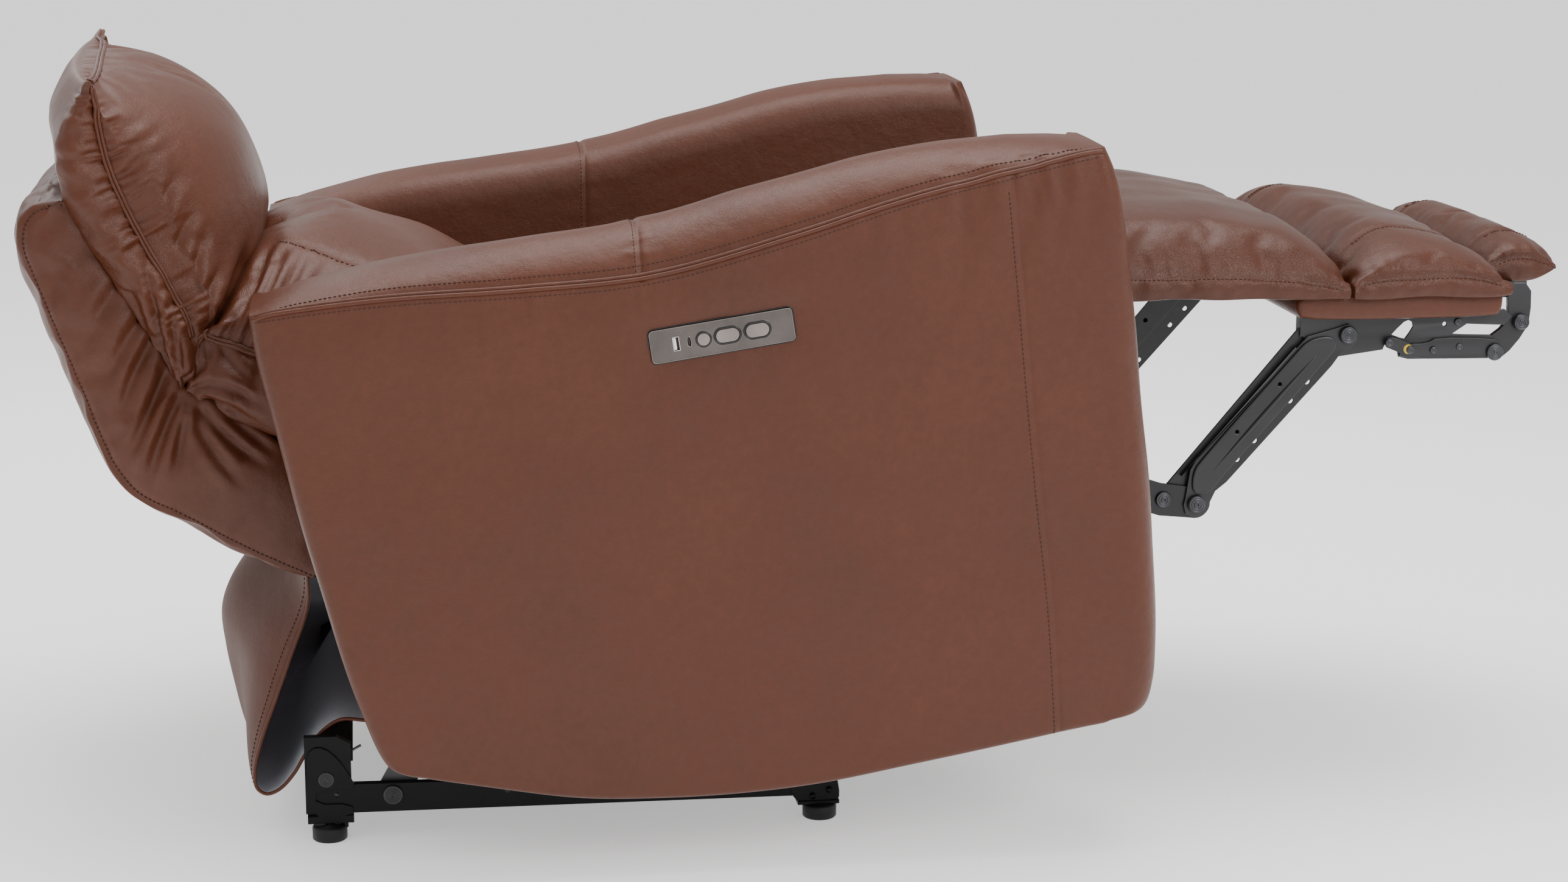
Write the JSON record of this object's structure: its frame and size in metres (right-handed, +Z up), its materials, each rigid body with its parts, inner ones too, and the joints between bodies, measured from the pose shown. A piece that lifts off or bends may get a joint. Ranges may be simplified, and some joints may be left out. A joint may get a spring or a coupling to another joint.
{
  "type": "power recliner armchair",
  "caption": "Leather power recliner armchair laid back with padded arms, tilting headrest, folding leg rest on steel scissor links and a side control plate",
  "frame": {"origin": "on the floor, under the middle of the overall box in the laid-back pose", "axes": "-Y is the way the sitter faces, +X is the sitter's left, +Z is up"},
  "size_m": [0.83, 1.581, 0.768],
  "materials": {
    "frame_steel": "satin black",
    "leather": "semi-gloss brown",
    "pad_leather": "semi-gloss brown over foam",
    "board_wood": "raw plywood",
    "spring_wire": "plain",
    "foot_plastic": "matt black",
    "carriage_plastic": "matt yellow",
    "panel_metal": "satin gunmetal",
    "port_metal": "bright",
    "button_metal": "satin"
  },
  "bodies": {
    "base": {"base_rail_left": "frame_steel", "base_rail_right": "frame_steel", "base_front_tube": "frame_steel", "base_rear_beam": "frame_steel", "rear_post_left": "frame_steel", "rear_post_right": "frame_steel", "foot_glides": "foot_plastic"},
    "rear_swing": {"rear_swing_left": "frame_steel", "rear_swing_right": "frame_steel"},
    "front_swing": {"front_swing_left": "frame_steel", "front_swing_right": "frame_steel"},
    "seat": {"seat_plate_left": "frame_steel", "seat_plate_right": "frame_steel", "seat_front_tube": "frame_steel", "seat_rear_tube": "frame_steel", "seat_board_left": "board_wood", "seat_board_right": "board_wood", "seat_springs": "spring_wire", "seat_cushion": "pad_leather", "seat_nose": "pad_leather", "rear_rail": "board_wood", "arm_core_left": "board_wood", "arm_core_right": "board_wood", "arm_top_left": "leather", "arm_top_right": "leather", "arm_outer_left": "leather", "arm_outer_right": "leather", "control_plate": "panel_metal", "usb_ports": "port_metal", "drive_motor": "frame_steel", "rear_flap": "leather"},
    "home_button": {"home_button": "button_metal"},
    "recline_rocker": {"recline_rocker": "button_metal"},
    "headrest_rocker": {"headrest_rocker": "button_metal"},
    "carriage": {"drive_carriage": "carriage_plastic"},
    "back": {"back_rail_left": "frame_steel", "back_rail_right": "frame_steel", "back_tube": "frame_steel", "back_cushion": "pad_leather", "back_shell": "leather", "back_roll": "leather"},
    "head": {"head_board": "board_wood", "headrest_pillow": "pad_leather", "head_shell": "leather"},
    "leg_rest": {"calf_pad": "pad_leather", "ottoman_pad": "pad_leather", "ottoman_board": "leather", "ottoman_bracket_left": "frame_steel", "ottoman_bracket_right": "frame_steel"},
    "lower_links": {"lower_link_left": "frame_steel", "lower_link_right": "frame_steel"},
    "long_links": {"long_link_left": "frame_steel", "long_link_right": "frame_steel"},
    "inner_links": {"inner_link_left": "frame_steel", "inner_link_right": "frame_steel"},
    "foot_flap": {"flip_plate_left": "frame_steel", "flip_plate_right": "frame_steel", "flip_board": "frame_steel", "flip_pad": "pad_leather"}
  },
  "joints": [
    {"name": "recline", "type": "hinge", "parent": "base", "child": "rear_swing", "pos_m": [0, 0.445, 0.045], "axis": [-1, 0, 0], "range_deg": [0, 42.76], "deforming": ["rear_flap"]},
    {"name": "seat_tilt", "type": "hinge", "parent": "rear_swing", "child": "seat", "pos_m": [0, 0.3612, 0.1913], "axis": [1, 0, 0], "range_deg": [0, 52.81]},
    {"name": "front_swing_turn", "type": "hinge", "parent": "base", "child": "front_swing", "pos_m": [0, 0.038, 0.045], "axis": [-1, 0, 0], "range_deg": [0, 50.2]},
    {"name": "back_recline", "type": "hinge", "parent": "seat", "child": "back", "pos_m": [0, 0.32, 0.414], "axis": [1, 0, 0], "range_deg": [0, 37.05]},
    {"name": "headrest_tilt", "type": "hinge", "parent": "back", "child": "head", "pos_m": [0, 0.658, 0.442], "axis": [-1, 0, 0], "range_deg": [0, 33]},
    {"name": "leg_rest_fold", "type": "hinge", "parent": "seat", "child": "leg_rest", "pos_m": [0, -0.275, 0.569], "axis": [1, 0, 0], "range_deg": [0, 82.5]},
    {"name": "lower_link_turn", "type": "hinge", "parent": "seat", "child": "lower_links", "pos_m": [0, -0.119, 0.395], "axis": [1, 0, 0], "range_deg": [0, 82.55]},
    {"name": "long_link_turn", "type": "hinge", "parent": "leg_rest", "child": "long_links", "pos_m": [0, -0.543, 0.486], "axis": [-1, 0, 0], "range_deg": [0, 82.55]},
    {"name": "inner_link_turn", "type": "hinge", "parent": "leg_rest", "child": "inner_links", "pos_m": [0, -0.509, 0.491], "axis": [-1, 0, 0], "range_deg": [0, 82.55]},
    {"name": "foot_pad_flip", "type": "hinge", "parent": "leg_rest", "child": "foot_flap", "pos_m": [0, -0.702, 0.464], "axis": [1, 0, 0], "range_deg": [0, 175.05]},
    {"name": "carriage_slide", "type": "slide", "parent": "seat", "child": "carriage", "axis": [0, 0.9901, -0.1405], "range_m": [0, 0.1501]},
    {"name": "home_button_press", "type": "slide", "parent": "seat", "child": "home_button", "axis": [1, 0, 0], "range_m": [0, 0.0012], "stiffness_N_per_m": 600, "springref_m": -0.001},
    {"name": "recline_rocker_turn", "type": "hinge", "parent": "seat", "child": "recline_rocker", "pos_m": [-0.4085, 0.12249, 0.53275], "axis": [0, 0.1478, 0.989], "range_deg": [-4, 4], "stiffness_Nm_per_rad": 0.5},
    {"name": "headrest_rocker_turn", "type": "hinge", "parent": "seat", "child": "headrest_rocker", "pos_m": [-0.4085, 0.09417, 0.53698], "axis": [0, 0.1478, 0.989], "range_deg": [-4, 4], "stiffness_Nm_per_rad": 0.5}
  ],
  "couplings": [
    {"joint": "seat_tilt", "follows": "recline", "ratio": 1.2339},
    {"joint": "front_swing_turn", "follows": "recline", "ratio": 1.1719},
    {"joint": "back_recline", "follows": "recline", "ratio": 0.86529},
    {"joint": "lower_link_turn", "follows": "leg_rest_fold", "ratio": 1},
    {"joint": "long_link_turn", "follows": "leg_rest_fold", "ratio": 1},
    {"joint": "inner_link_turn", "follows": "leg_rest_fold", "ratio": 1},
    {"joint": "foot_pad_flip", "follows": "leg_rest_fold", "ratio": 2.1212},
    {"joint": "carriage_slide", "follows": "leg_rest_fold", "m_per_rad": 0.10417}
  ]
}
